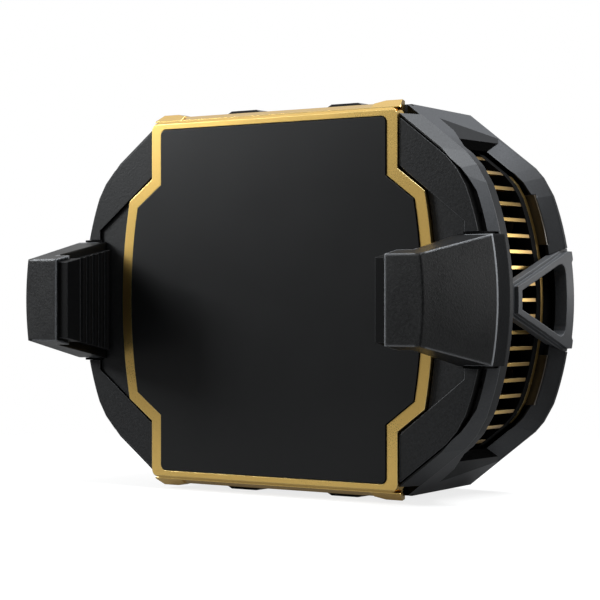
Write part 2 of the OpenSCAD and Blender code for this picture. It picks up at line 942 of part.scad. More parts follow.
module right_strut_shape() {
    start = shell_back + strut_start;
    slope = (strut_wide - strut_narrow) / (housing_back - 1.3 - start);
    hole_start = start + 1.2 * strut_bar;
    hole_end = housing_back - 3 * strut_bar;
    hole_bend = hole_end - 2.2 * strut_bar;
    hole_low = strut_narrow + slope * (hole_start - start) - strut_bar;
    hole_high = strut_narrow + slope * (hole_bend - start) - strut_bar;
    difference() {
        union() {
            intersection() {
                along_x(window_start, far) strut_outline(0);
                along_y(0, far) body_outline(strut_proud, strut_proud, body_half_height);
            }
            intersection() {
                along_x(window_start, far) strut_outline(strut_flange);
                along_y(0, far) inset_outline(strut_flange);
            }
            // A low tongue that reaches the housing's front rim.
            intersection() {
                block(window_start, far, rim_back, shell_back + strut_start + strut_bar / 2,
                    0.6 - strut_narrow, strut_narrow - 0.6);
                along_y(0, far) inset_outline(wall - strut_flange);
            }
        }
        along_y(-far, far) inset_outline(wall);
        along_x(0, far)
            polygon([
                [hole_start, hole_low], [hole_bend, hole_high],
                [hole_end - 1.1 * strut_bar, hole_high + 0.15 * strut_bar],
                [hole_end - 0.45 * strut_bar, hole_high - 0.15 * strut_bar],
                [hole_end - 0.1 * strut_bar, hole_high - 0.7 * strut_bar],
                [hole_end, hole_high - 1.4 * strut_bar], [hole_end, 1.4 * strut_bar - hole_high],
                [hole_end - 0.1 * strut_bar, 0.7 * strut_bar - hole_high],
                [hole_end - 0.45 * strut_bar, 0.15 * strut_bar - hole_high],
                [hole_end - 1.1 * strut_bar, -0.15 * strut_bar - hole_high],
                [hole_bend, -hole_high], [hole_start, -hole_low]
            ]);
    }
}

module right_strut() {
    color("#66696d") right_strut_shape();
}

module left_strut() {
    color("#66696d") mirror([1, 0, 0]) right_strut_shape();
}

module rear_grille() {
    back = grille_back - 0.2;
    front = back - 1.6;
    ring_step = (grille_radius - grille_rim - grille_hub) / (grille_ring_count + 1);
    color("#3a3c40") {
        difference() {
            round_bar(0, 0, grille_radius, duct_back, grille_back);
            bore(0, 0, grille_radius - grille_rim);
        }
        round_bar(0, 0, grille_hub, front, back);
        for (i = [1 : grille_ring_count])
            difference() {
                round_bar(0, 0, grille_hub + i * ring_step + grille_bar / 2, front + 0.2, back - 0.2);
                bore(0, 0, grille_hub + i * ring_step - grille_bar / 2);
            }
        for (i = [0 : grille_spoke_count - 1])
            rotate([0, i * 360 / grille_spoke_count, 0])
                block(grille_hub - 1, grille_radius - grille_rim / 2, front, back,
                    -grille_spoke / 2, grille_spoke / 2);
    }
}

module grille_badge() {
    back = grille_back - 0.2;
    color("#d9ad52") round_bar(0, 0, badge_radius, back, back + badge_thickness);
}

// Power and control

module control_board() {
    half = case_screw_x - column_radius - 0.6;
    color("#1f5a3a") difference() {
        block(-half, half, sink_base_back + 0.4, fins_back, board_top - board_thickness, board_top);
        block(-socket_width / 2 - 2 * clear, socket_width / 2 + 2 * clear, socket_y - 2 * clear,
            socket_y + socket_thickness + 2 * clear, -far, far);
    }
}

module socket_outline(inset) {
    r = socket_thickness / 2 - inset;
    reach = socket_width / 2 - socket_thickness / 2;
    translate([0, socket_mid]) {
        square([2 * reach, 2 * r], center = true);
        translate([reach, 0]) circle(r = r);
        translate([-reach, 0]) circle(r = r);
    }
}

module usb_socket() {
    floor = body_half_height - socket_depth;
    color("#b9bcc0") difference() {
        along_z(floor, body_half_height) socket_outline(0);
        along_z(floor + 0.8, far) socket_outline(socket_shell);
    }
}

module usb_tongue() {
    color("#161718")
        block(-tongue_half_width, tongue_half_width, socket_mid - tongue_thickness / 2,
            socket_mid + tongue_thickness / 2, body_half_height - socket_depth + 0.8, body_half_height - 0.8);
}

// Arms

// The side view of an arm, drawn in by a margin.
// What the rounding of the lip's upper corner takes away.
module lip_corner() {
    slope = (arm_base_half_height - lip_half_height) / (arm_base - lip_front);
    stretch = sqrt(1 + slope * slope);
    centre = [lip_front + lip_round, lip_half_height + (slope - stretch) * lip_round];
    touch = centre + [-slope, 1] * lip_round / stretch;
    difference() {
        along_x(0, far)
            polygon([
                centre, [lip_front - 1, centre[1]], [lip_front - 1, lip_half_height + 1],
                [touch[0], lip_half_height + 1], touch
            ]);
        along_x(-1, far + 1) translate(centre) circle(lip_round);
    }
}

module arm_profile(margin) {
    polygon([
        [lip_front, lip_half_height - margin], [arm_base, arm_base_half_height - margin],
        [arm_base, margin - arm_base_half_height], [lip_front, margin - lip_half_height]
    ]);
}

// The arm's outer wall is part of a cone that follows the side of the body.
module right_arm_shape() {
    slope = arm_draft / (arm_base - lip_front);
    foot_radius = arm_outer_back + arm_arc_shift - slope * arm_base;
    union() {
        difference() {
            intersection() {
                along_z(-far, far)
                    polygon([
                        [lip_face_start, lip_under], [lip_face_start, lip_front], [far, lip_front],
                        [far, arm_base], [arm_inner, arm_base], [arm_inner, lip_under]
                    ]);
                along_x(0, far) arm_profile(0);
                side_cone(-arm_arc_shift, lip_front, arm_base, arm_outer_front + arm_arc_shift,
                    arm_outer_back + arm_arc_shift);
            }
            lip_corner();
            mirror([0, 0, 1]) lip_corner();
        }
        // The foot goes down through the notch in the cover.
        intersection() {
            block(recess_reach + arm_notch_gap, far, arm_base - eps, tongue_back,
                -tongue_half_height, tongue_half_height);
            side_cone(-arm_arc_shift, 0, shell_back, foot_radius, foot_radius);
        }
        // The tongue slides under the rail cover and ends in a cross head.
        block(head_inner, recess_reach + 1, tongue_front, tongue_back,
            -tongue_half_height, tongue_half_height);
        block(head_inner, head_outer, tongue_front, tongue_back, -head_half_height, head_half_height);
    }
}

module right_arm() {
    color("#4d5054") right_arm_shape();
}

module left_arm() {
    color("#4d5054") mirror([1, 0, 0]) right_arm_shape();
}

module right_grip_pad_shape() {
    lead = lip_under + lip_pad_thickness + 2 * clear;
    tail = arm_base - arm_notch_gap;
    ribs = floor((tail - lead - 2 * rib_radius) / rib_pitch) + 1;
    intersection() {
        union() {
            block(pad_face + rib_radius, arm_inner, lead, tail, -far, far);
            for (i = [0 : ribs - 1])
                translate([pad_face + rib_radius, lead + rib_radius + 0.2 + i * rib_pitch, -far])
                    cylinder(r = rib_radius, h = 2 * far);
        }
        along_x(0, far) arm_profile(pad_margin);
    }
}

module right_grip_pad() {
    color("#1d1e20") right_grip_pad_shape();
}

module left_grip_pad() {
    color("#1d1e20") mirror([1, 0, 0]) right_grip_pad_shape();
}

// Rubber under the lip, which also caps the lip's tip.
module right_lip_pad_shape() {
    intersection() {
        block(lip_tip, lip_face_start, lip_front + lip_cap_drop, lip_under + lip_pad_thickness, -far, far);
        along_x(0, far) arm_profile(lip_cap_drop);
    }
    block(lip_face_start - eps, arm_inner - arm_notch_gap, lip_under, lip_under + lip_pad_thickness,
        pad_margin - lip_half_height, lip_half_height - pad_margin);
}

module right_lip_pad() {
    color("#1d1e20") right_lip_pad_shape();
}

module left_lip_pad() {
    color("#1d1e20") mirror([1, 0, 0]) right_lip_pad_shape();
}

module right_springs_shape() {
    both_ends()
        translate([head_outer, (tongue_front + tongue_back) / 2, spring_height]) rotate([0, 90, 0])
            difference() {
                cylinder(r = spring_radius, h = pocket_outer - head_outer);
                translate([0, 0, -1]) cylinder(r = spring_radius - spring_wire, h = far);
            }
}

module right_springs() {
    color("#b9bcc0") right_springs_shape();
}

module left_springs() {
    color("#b9bcc0") mirror([1, 0, 0]) right_springs_shape();
}

// Screws

module case_screws() {
    seat = shell_back + case_screw_seat;
    head = screw_head_height + 0.1;
    color("#2c2d30") four_corners() {
        difference() {
            round_bar(case_screw_x, case_screw_z, column_bore - 0.15, seat, seat + head);
            translate([case_screw_x, seat + head / 2, case_screw_z]) rotate([-90, 0, 0])
                cylinder(r = 0.8, h = head, $fn = 6);
        }
        round_bar(case_screw_x, case_screw_z, screw_radius, plate_back + 1.0, seat + 0.2);
    }
}

module plate_screws() {
    seat = sink_base_back - screw_head_height;
    color("#c9ccd0") four_corners() {
        round_bar(plate_screw_x, plate_screw_z, screw_head_radius, seat, sink_base_back);
        round_bar(plate_screw_x, plate_screw_z, screw_radius, plate_back - 1.3, seat + 0.2);
    }
}

module fan_screws() {
    color("#2c2d30") four_corners() {
        round_bar(fan_screw_x, fan_screw_z, screw_head_radius, flange_front, flange_front + 1.0);
        round_bar(fan_screw_x, fan_screw_z, screw_radius, flange_front + 0.8, duct_back - 2.2);
    }
}

cold_plate();
gold_frame();
left_upper_cover();
left_lower_cover();
right_upper_cover();
right_lower_cover();
left_rail_cover();
right_rail_cover();
front_shell();
top_trim();
bottom_trim();
cold_ceramic();
cell_pellets();
hot_ceramic();
insulation_gasket();
heatsink_base();
heatsink_fins();
fan_frame();
fan_trim();
bearing_sleeve();
motor_stator();
rotor_magnet();
fan_shaft();
impeller();
rear_housing();
left_lenses();
right_lenses();
rear_grille();
grille_badge();
left_strut();
right_strut();
control_board();
usb_socket();
usb_tongue();
left_arm();
right_arm();
left_grip_pad();
right_grip_pad();
left_lip_pad();
right_lip_pad();
left_springs();
right_springs();
case_screws();
plate_screws();
fan_screws();
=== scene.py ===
import math

import bmesh
import bpy
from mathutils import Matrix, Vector


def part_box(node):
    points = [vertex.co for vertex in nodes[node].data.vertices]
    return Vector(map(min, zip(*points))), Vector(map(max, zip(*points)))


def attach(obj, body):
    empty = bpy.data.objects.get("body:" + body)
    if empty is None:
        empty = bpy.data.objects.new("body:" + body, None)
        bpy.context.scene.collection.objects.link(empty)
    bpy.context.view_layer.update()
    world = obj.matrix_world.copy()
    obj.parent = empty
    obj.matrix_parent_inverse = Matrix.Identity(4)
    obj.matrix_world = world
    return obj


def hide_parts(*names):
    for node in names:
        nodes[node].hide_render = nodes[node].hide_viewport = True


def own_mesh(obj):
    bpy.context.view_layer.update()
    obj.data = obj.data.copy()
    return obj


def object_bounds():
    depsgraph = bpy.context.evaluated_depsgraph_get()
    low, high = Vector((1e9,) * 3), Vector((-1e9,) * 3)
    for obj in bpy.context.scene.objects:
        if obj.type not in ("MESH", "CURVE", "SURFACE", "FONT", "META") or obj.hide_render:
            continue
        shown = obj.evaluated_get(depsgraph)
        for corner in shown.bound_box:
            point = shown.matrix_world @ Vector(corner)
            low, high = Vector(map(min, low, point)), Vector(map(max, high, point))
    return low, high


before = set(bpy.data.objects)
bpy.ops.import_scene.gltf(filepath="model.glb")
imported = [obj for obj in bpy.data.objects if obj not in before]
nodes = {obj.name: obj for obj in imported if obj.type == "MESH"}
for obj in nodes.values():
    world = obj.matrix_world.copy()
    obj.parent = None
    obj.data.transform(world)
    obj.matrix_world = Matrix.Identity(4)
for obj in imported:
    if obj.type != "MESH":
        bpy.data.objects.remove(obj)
cad_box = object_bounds()

scene = bpy.context.scene
scene.view_settings.view_transform = "Standard"

# Lengths are in metres, as in the frame. X is to the right, Y to the back and Z up.

# Camera

CAMERA_LENS = 116.9
CAMERA_SENSOR = 36.0
CAMERA_PLACE = (0.1852, -0.2556, 0.0)
CAMERA_YAW = 35
CAMERA_NEAR = 0.01

cam_data = bpy.data.cameras.new("camera")
cam_data.lens = CAMERA_LENS
cam_data.sensor_width = CAMERA_SENSOR
cam_data.clip_start = CAMERA_NEAR
camera = bpy.data.objects.new("camera", cam_data)
camera.location = CAMERA_PLACE
camera.rotation_euler = (math.radians(90), 0, math.radians(CAMERA_YAW))
scene.collection.objects.link(camera)
scene.camera = camera


# Steps that the materials share

GRAIN_HEIGHT = 0.00006
BRUSH_HEIGHT = 0.00003
WIRE_HEIGHT = 0.0001
TRACK_HEIGHT = 0.00004
GRAIN_DETAIL = 3.0
GRAIN_ROUGHNESS = 0.6
PAINTED_SHADE_BLACK = (0.003, 0.003, 0.003)
RECESS_SHADE_BLACK = (0.001, 0.001, 0.001)
WALL_BLACK = (0.002, 0.002, 0.002)


def set_input(node, name, value):
    """Sets one socket of a node by its name."""
    node.inputs[name].default_value = value


def scaled(colour, factor):
    """A colour times a factor, at most 1."""
    return tuple(min(1.0, c * factor) for c in colour)


def new_material(name):
    """An empty node material with its shader, and the output with the place on the object."""
    mat = bpy.data.materials.new(name)
    mat.use_nodes = True
    tree = mat.node_tree
    shader = tree.nodes["Principled BSDF"]
    coord = tree.nodes.new("ShaderNodeTexCoord")
    return mat, tree, shader, coord.outputs["Object"]


def add_noise(tree, vector, scale, detail=2.0, rough=0.5, stretch=None):
    """A noise texture on a vector, whose axes may be stretched. Returns its height output."""
    if stretch:
        mapping = tree.nodes.new("ShaderNodeMapping")
        set_input(mapping, "Scale", stretch)
        tree.links.new(vector, mapping.inputs["Vector"])
        vector = mapping.outputs["Vector"]
    noise = tree.nodes.new("ShaderNodeTexNoise")
    set_input(noise, "Scale", scale)
    set_input(noise, "Detail", detail)
    set_input(noise, "Roughness", rough)
    tree.links.new(vector, noise.inputs["Vector"])
    return noise.outputs["Fac"]


def add_range(tree, value, low, high, start=0.3, end=0.7):
    """Maps values from start..end to low..high. The usual start and end suit a noise texture."""
    node = tree.nodes.new("ShaderNodeMapRange")
    set_input(node, "From Min", start)
    set_input(node, "From Max", end)
    set_input(node, "To Min", low)
    set_input(node, "To Max", high)
    tree.links.new(value, node.inputs["Value"])
    return node.outputs["Result"]


def add_blend(tree, factor, dark, light):
    """Blends two colours, each a triple or another node's output."""
    mix = tree.nodes.new("ShaderNodeMix")
    mix.data_type = "RGBA"
    tree.links.new(factor, mix.inputs["Factor"])
    for socket, colour in ((mix.inputs[6], dark), (mix.inputs[7], light)):
        if isinstance(colour, tuple):
            socket.default_value = (*colour, 1)
        else:
            tree.links.new(colour, socket)
    return mix.outputs[2]


def add_math(tree, kind, a, b):
    """One sum, product or other step on two values, each a number or an output."""
    node = tree.nodes.new("ShaderNodeMath")
    node.operation = kind
    for socket, value in ((node.inputs[0], a), (node.inputs[1], b)):
        if isinstance(value, (int, float)):
            socket.default_value = value
        else:
            tree.links.new(value, socket)
    return node.outputs[0]


def add_split(tree, vector):
    """The X, Y and Z outputs of a vector."""
    split = tree.nodes.new("ShaderNodeSeparateXYZ")
    tree.links.new(vector, split.inputs["Vector"])
    return split.outputs["X"], split.outputs["Y"], split.outputs["Z"]


def add_size(tree, value):
    """A value without its sign, so that left and right are treated alike."""
    return add_math(tree, "ABSOLUTE", value, 0.0)


def add_facing(tree):
    """The X, Y and Z outputs of the flat normal."""
    geometry = tree.nodes.new("ShaderNodeNewGeometry")
    return add_split(tree, geometry.outputs["True Normal"])


def add_edges(tree, radius):
    """Rounds the edges in the shading. Returns the rounded normal and a mask that is 1 on edges."""
    bevel = tree.nodes.new("ShaderNodeBevel")
    bevel.samples = 6
    set_input(bevel, "Radius", radius)
    geometry = tree.nodes.new("ShaderNodeNewGeometry")
    dot = tree.nodes.new("ShaderNodeVectorMath")
    dot.operation = "DOT_PRODUCT"
    tree.links.new(bevel.outputs["Normal"], dot.inputs[0])
    tree.links.new(geometry.outputs["Normal"], dot.inputs[1])
    return bevel.outputs["Normal"], add_range(tree, dot.outputs["Value"], 1.0, 0.0, 0.88, 0.985)


def add_bump(tree, shader, height, strength, distance, normal=None):
    """Raises the surface by a height output, over the rounded normal if there is one."""
    bump = tree.nodes.new("ShaderNodeBump")
    set_input(bump, "Strength", strength)
    set_input(bump, "Distance", distance)
    tree.links.new(height, bump.inputs["Height"])
    if normal:
        tree.links.new(normal, bump.inputs["Normal"])
    tree.links.new(bump.outputs["Normal"], shader.inputs["Normal"])


# Marks that some finishes carry, each at a place on the object: mostly painted shade, with one painted
# highlight line

def spare_crease(tree, place, rim, across, depth):
    """Takes the lightened edge, partly rubbed wear and partly painted highlight, away at the crease of the
    arms, beyond across and in front of depth.
    """
    fade = 0.0003
    x, y, _ = add_split(tree, place)
    corner = add_math(tree, "MULTIPLY",
                      add_range(tree, add_size(tree, x), 0.0, 1.0, across, across + fade),
                      add_range(tree, y, 1.0, 0.0, depth, depth + fade))
    return add_math(tree, "MULTIPLY", rim, add_range(tree, corner, 1.0, 0.0, 0.0, 1.0))


def paint_front_shade(tree, shade, colour):
    """Paints shade: the faces that look straight forward get another, darker colour."""
    _, y, _ = add_facing(tree)
    return add_blend(tree, add_range(tree, y, 1.0, 0.0, -0.95, -0.85), shade, colour)


def paint_side_shade(tree, place, shade, start):
    """Paints shade: darkens the surface slowly towards the sides, from start on."""
    x, _, _ = add_split(tree, place)
    side = add_range(tree, add_size(tree, x), 0.0, 0.75, start, start + 0.008)
    return add_blend(tree, side, shade, PAINTED_SHADE_BLACK)


def paint_foot_shade(tree, place, shade, start, colour, line=None):
    """Paints shade on all that lies behind start, after a thin painted highlight line if asked. Returns its
    mask too.
    """
    _, y, _ = add_split(tree, place)
    foot = add_range(tree, y, 0.0, 1.0, start, start + 0.00002)
    if line:
        shade = add_blend(tree, add_range(tree, y, 0.0, 1.0, start - 0.0004, start - 0.0003), shade, line)
    return add_blend(tree, foot, shade, colour), foot


def paint_inner(tree, place, shade, across, depth):
    """Blackens the inner walls of the arms, nearer than across and behind depth."""
    fade = 0.00008
    x, y, _ = add_split(tree, place)
    layer = add_range(tree, add_size(tree, x), 1.0, 0.0, across, across + fade)
    wall = add_range(tree, y, 0.0, 1.0, depth, depth + fade)
    return add_blend(tree, add_math(tree, "MULTIPLY", layer, wall), shade, WALL_BLACK)


def paint_window_end_shade(tree, place, shade, start):
    """Paints shade: darkens the sloped ends of the side windows, above start, and blackens the floors behind
    them.

    Returns the mask of the floors too.
    """
    facing, _, _ = add_facing(tree)
    _, _, z = add_split(tree, place)
    sideways = add_size(tree, facing)
    end = add_range(tree, add_size(tree, z), 0.0, 1.0, start, start + 0.001)
    slope = add_math(tree, "MULTIPLY", end, add_range(tree, sideways, 0.0, 0.7, 0.75, 0.8))
    floors = add_math(tree, "MULTIPLY", end, add_range(tree, sideways, 0.0, 1.0, 0.95, 0.98))
    shade = add_blend(tree, slope, shade, PAINTED_SHADE_BLACK)
    return add_blend(tree, floors, shade, RECESS_SHADE_BLACK), floors


# Kinds of finish

def finish(name, colour, rough, metal=0.0, specular=0.5, grain=3500.0, bump=0.15, tint=0.25, patch=0.12,
           gloss_range=0.12, stretch=None, coat=0.0, edge=0.0001, rubbed_and_lit_edge=None, crease=None, front=None,
           sides=None, foot=None, inner=None, ends=None):
    """A moulded, sprayed or blasted surface: fine grain, slow patches, and edges lightened partly as rubbed
    wear and partly as painted highlight.

    The last six values are the marks above, most of them painted shade, and the painted-shade foot and the
    floors of the window ends are dull, and metallic so that they reflect little.
    """
    mat, tree, shader, place = new_material(name)
    fine = add_noise(tree, place, grain, GRAIN_DETAIL, GRAIN_ROUGHNESS, stretch)
    slow = add_noise(tree, place, 90.0)
    shade = add_blend(tree, add_range(tree, fine, 0.0, 1.0),
                      scaled(colour, 1 - tint), scaled(colour, 1 + tint))
    shade = add_blend(tree, add_range(tree, slow, 0.0, patch), shade, scaled(colour, 1 + 2 * patch))
    normal, rim = add_edges(tree, edge)
    dull = None
    if crease:
        rim = spare_crease(tree, place, rim, *crease)
    # Edges lightened: partly rubbed wear, partly painted highlight.
    if rubbed_and_lit_edge:
        shade = add_blend(tree, rim, shade, rubbed_and_lit_edge)
    # Painted shade on the faces that look forward.
    if front:
        shade = paint_front_shade(tree, shade, front)
    # Painted shade towards the sides.
    if sides:
        shade = paint_side_shade(tree, place, shade, sides)
    # Painted shade on the foot, after a painted highlight line on the arms.
    if foot:
        shade, dull = paint_foot_shade(tree, place, shade, *foot)
    if inner:
        shade = paint_inner(tree, place, shade, *inner)
    # Painted shade on the window ends and their floors.
    if ends:
        shade, dull = paint_window_end_shade(tree, place, shade, ends)
    tree.links.new(shade, shader.inputs["Base Color"])
    gloss = add_math(tree, "ADD", add_range(tree, fine, -gloss_range / 2, gloss_range / 2),
                     add_range(tree, slow, rough - patch / 3, rough + patch / 3))
    gloss = add_math(tree, "SUBTRACT", gloss, add_math(tree, "MULTIPLY", rim, 0.12))
    # The painted-shade foot and window-end floors: rougher, and metallic so that they reflect little.
    if dull:
        gloss = add_math(tree, "ADD", gloss, add_math(tree, "MULTIPLY", dull, 0.5))
        tree.links.new(dull, shader.inputs["Metallic"])
    else:
        set_input(shader, "Metallic", metal)
    tree.links.new(gloss, shader.inputs["Roughness"])
    set_input(shader, "Specular IOR Level", specular)
    set_input(shader, "Coat Weight", coat)
    set_input(shader, "Coat Roughness", 0.08)
    add_bump(tree, shader, fine, bump, GRAIN_HEIGHT, normal)
    return mat


def cover_finish(name, face, side, face_rough, side_rough, depth, rubbed_and_lit_edge):
    """A cover whose front is fine textured and whose walls, from depth on, are smooth black: painted shade,
    made metallic so that they reflect little.
    """
    mat, tree, shader, place = new_material(name)
    fine = add_noise(tree, place, 2600.0, GRAIN_DETAIL, GRAIN_ROUGHNESS)
    slow = add_noise(tree, place, 70.0)
    _, y, _ = add_split(tree, place)
    wall = add_range(tree, y, 0.0, 1.0, depth, depth + 0.00015)
    normal, rim = add_edges(tree, 0.00014)
    light = scaled(face, 1.5)
    grain = add_blend(tree, add_range(tree, fine, 0.0, 1.0), scaled(face, 0.6), light)
    grain = add_blend(tree, add_range(tree, slow, 0.0, 0.3), grain, light)
    # Edges take a lightened colour, partly rubbed wear and partly painted highlight; the walls take the black
    # of painted shade.
    shade = add_blend(tree, wall, add_blend(tree, rim, grain, rubbed_and_lit_edge), side)
    tree.links.new(shade, shader.inputs["Base Color"])
    gloss = add_math(tree, "ADD", add_range(tree, fine, -0.06, 0.06),
                     add_range(tree, wall, face_rough, side_rough, 0.0, 1.0))
    tree.links.new(gloss, shader.inputs["Roughness"])
    tree.links.new(wall, shader.inputs["Metallic"])
    set_input(shader, "Specular IOR Level", 0.25)
    height = add_math(tree, "MULTIPLY", fine, add_range(tree, wall, 1.0, 0.1, 0.0, 1.0))
    add_bump(tree, shader, height, 0.5, GRAIN_HEIGHT, normal)
    return mat


def gold_finish(name, colour, rough, grain, brush, edge=0.00014, shade_depths=None):
    """Satin anodised aluminium. Where the two depths are given, painted shade darkens it between them, so
    that the fins grow darker towards the back.
    """
    mat, tree, shader, place = new_material(name)
    lines = add_noise(tree, place, 1.0, GRAIN_DETAIL, GRAIN_ROUGHNESS, grain)
    slow = add_noise(tree, place, 60.0)
    shade = add_blend(tree, add_range(tree, lines, 0.0, 1.0), scaled(colour, 0.95), scaled(colour, 1.05))
    deeper = tuple(c * s for c, s in zip(colour, (0.86, 0.8, 0.7)))
    shade = add_blend(tree, add_range(tree, slow, 0.0, 0.5), shade, deeper)
    normal, rim = add_edges(tree, edge)
    # Painted highlight: the edges are lightened towards a brighter gold.
    shade = add_blend(tree, rim, shade, GOLD_EDGE_HIGHLIGHT)
    # Painted shade: darker towards the back of the fins, between the two depths.
    if shade_depths:
        _, y, _ = add_split(tree, place)
        shade = add_blend(tree, add_range(tree, y, 0.0, 0.9, *shade_depths), shade, FIN_SHADE_GOLD)
    tree.links.new(shade, shader.inputs["Base Color"])
    gloss = add_math(tree, "ADD", add_range(tree, lines, -0.02, 0.02),
                     add_range(tree, slow, rough - 0.03, rough + 0.03))
    tree.links.new(gloss, shader.inputs["Roughness"])
    set_input(shader, "Metallic", 1.0)
    add_bump(tree, shader, lines, brush, BRUSH_HEIGHT, normal)
    return mat


def turned_finish(name, colour, rough):
    """Metal faced on a lathe: fine rings about the Y axis."""
    mat, tree, shader, place = new_material(name)
    rings = tree.nodes.new("ShaderNodeTexWave")
    rings.wave_type = "RINGS"
    rings.rings_direction = "Y"
    set_input(rings, "Scale", 900.0)
    set_input(rings, "Distortion", 0.6)
    set_input(rings, "Detail", 2.0)
    tree.links.new(place, rings.inputs["Vector"])
    ring = rings.outputs["Fac"]
    shade = add_blend(tree, ring, scaled(colour, 0.85), scaled(colour, 1.1))
    tree.links.new(shade, shader.inputs["Base Color"])
    tree.links.new(add_range(tree, ring, rough - 0.06, rough + 0.06, 0.0, 1.0), shader.inputs["Roughness"])
    set_input(shader, "Metallic", 1.0)
    add_bump(tree, shader, ring, 0.12, BRUSH_HEIGHT)
    return mat


def coil_finish(name, colour):
    """Lacquered wire laid side by side round the motor's arms."""
    mat, tree, shader, place = new_material(name)
    wire = tree.nodes.new("ShaderNodeTexWave")
    wire.bands_direction = "Y"
    set_input(wire, "Scale", 700.0)
    set_input(wire, "Distortion", 0.3)
    tree.links.new(place, wire.inputs["Vector"])
    turn = wire.outputs["Fac"]
    tree.links.new(add_blend(tree, turn, scaled(colour, 0.45), colour), shader.inputs["Base Color"])
    fine = add_noise(tree, place, 2500.0)
    tree.links.new(add_range(tree, fine, 0.25, 0.4), shader.inputs["Roughness"])
    set_input(shader, "Metallic", 0.8)
    add_bump(tree, shader, turn, 0.5, WIRE_HEIGHT)
    return mat


def board_finish(name, colour):
    """A circuit board: solder mask with fine copper tracks under it."""
    mat, tree, shader, place = new_material(name)
    tracks = tree.nodes.new("ShaderNodeTexBrick")
    set_input(tracks, "Scale", 260.0)
    set_input(tracks, "Mortar Size", 0.06)
    set_input(tracks, "Color1", (*colour, 1))
    set_input(tracks, "Color2", (*scaled(colour, 0.8), 1))
    set_input(tracks, "Mortar", (*scaled(colour, 1.9), 1))
    tree.links.new(place, tracks.inputs["Vector"])
    tree.links.new(tracks.outputs["Color"], shader.inputs["Base Color"])
    fine = add_noise(tree, place, 1800.0)
    tree.links.new(add_range(tree, fine, 0.3, 0.42), shader.inputs["Roughness"])
    add_bump(tree, shader, tracks.outputs["Fac"], 0.25, TRACK_HEIGHT)
    return mat


# The finishes. The gold grains are noise scales along X, Y and Z.

GOLD = (0.92, 0.62, 0.19)
DARK_GOLD = (0.42, 0.27, 0.08)
# Painted highlight colour for the gold edges.
GOLD_EDGE_HIGHLIGHT = (1.0, 0.84, 0.42)
# Painted shade colour that the fins darken to towards the back.
FIN_SHADE_GOLD = (0.1, 0.05, 0.015)
ALONG_X = (250.0, 5000.0, 5000.0)
ALONG_Y = (5000.0, 250.0, 5000.0)
ALONG_Z = (5000.0, 5000.0, 250.0)
EVEN = (4500.0, 4500.0, 4500.0)
SHELL = (0.044, 0.046, 0.050)
# Edge colours: partly rubbed wear, partly painted highlight.
SHELL_EDGE_WEAR_AND_HIGHLIGHT = (0.14, 0.145, 0.152)
ARM_EDGE_WEAR_AND_HIGHLIGHT = (0.24, 0.247, 0.26)
FIN_SHADE_DEPTHS = (0.012, 0.0215)
BAND_BACK = 0.0046
ARM_BACK = 0.0004
ARM_INNER = (0.0364, -0.0112)
ARM_CREASE = (0.0372, -0.0146)
RING_SHADE_START = 0.029
WINDOW_END_SHADE_START = 0.0222

plate_black = finish("plate_black", (0.0022, 0.0024, 0.0027), 0.36, specular=0.3, grain=5200.0, bump=0.06,
                     tint=0.14, patch=0.03, gloss_range=0.08, rubbed_and_lit_edge=(0.02, 0.021, 0.023))
frame_gold = gold_finish("frame_gold", GOLD, 0.3, EVEN, 0.0005)
trim_gold = gold_finish("trim_gold", GOLD, 0.24, ALONG_X, 0.0015, 0.00008)
fin_gold = gold_finish("fin_gold", GOLD, 0.36, ALONG_Y, 0.05, 0.00005, FIN_SHADE_DEPTHS)
rail_gold = gold_finish("rail_gold", DARK_GOLD, 0.34, ALONG_Z, 0.01, 0.00005)
badge_gold = turned_finish("badge_gold", GOLD, 0.3)
cover_grey = cover_finish("cover_grey", face=(0.0065, 0.0068, 0.0074), side=(0.0008, 0.0008, 0.0008),
                          face_rough=0.45, side_rough=0.75, depth=0.0006, rubbed_and_lit_edge=(0.12, 0.124, 0.13))
rail_grey = cover_finish("rail_grey", face=(0.0085, 0.0088, 0.0094), side=(0.003, 0.003, 0.003),
                         face_rough=0.48, side_rough=0.35, depth=0.0011, rubbed_and_lit_edge=(0.09, 0.093, 0.098))
shell_grey = finish("shell_grey", SHELL, 0.5, specular=0.3, grain=3600.0, bump=0.1, tint=0.22,
                    gloss_range=0.1, edge=0.0002, rubbed_and_lit_edge=SHELL_EDGE_WEAR_AND_HIGHLIGHT)
# The ring carries painted shade on its forward faces, its far sides and its sloped window ends and their
# floors.
ring_grey = finish("ring_grey", (0.056, 0.058, 0.063), 0.5, specular=0.14, grain=3600.0, bump=0.1, tint=0.22,
                   gloss_range=0.1, edge=0.0002, rubbed_and_lit_edge=SHELL_EDGE_WEAR_AND_HIGHLIGHT, front=WALL_BLACK, sides=RING_SHADE_START,
                   ends=WINDOW_END_SHADE_START)
# The band carries painted shade on its forward faces and on its lap behind BAND_BACK.
band_grey = finish("band_grey", SHELL, 0.48, specular=0.35, grain=3600.0, bump=0.1, tint=0.22,
                   gloss_range=0.1, edge=0.00015, rubbed_and_lit_edge=(0.13, 0.134, 0.14), front=(0.0015, 0.0015, 0.0015),
                   foot=(BAND_BACK, RECESS_SHADE_BLACK))
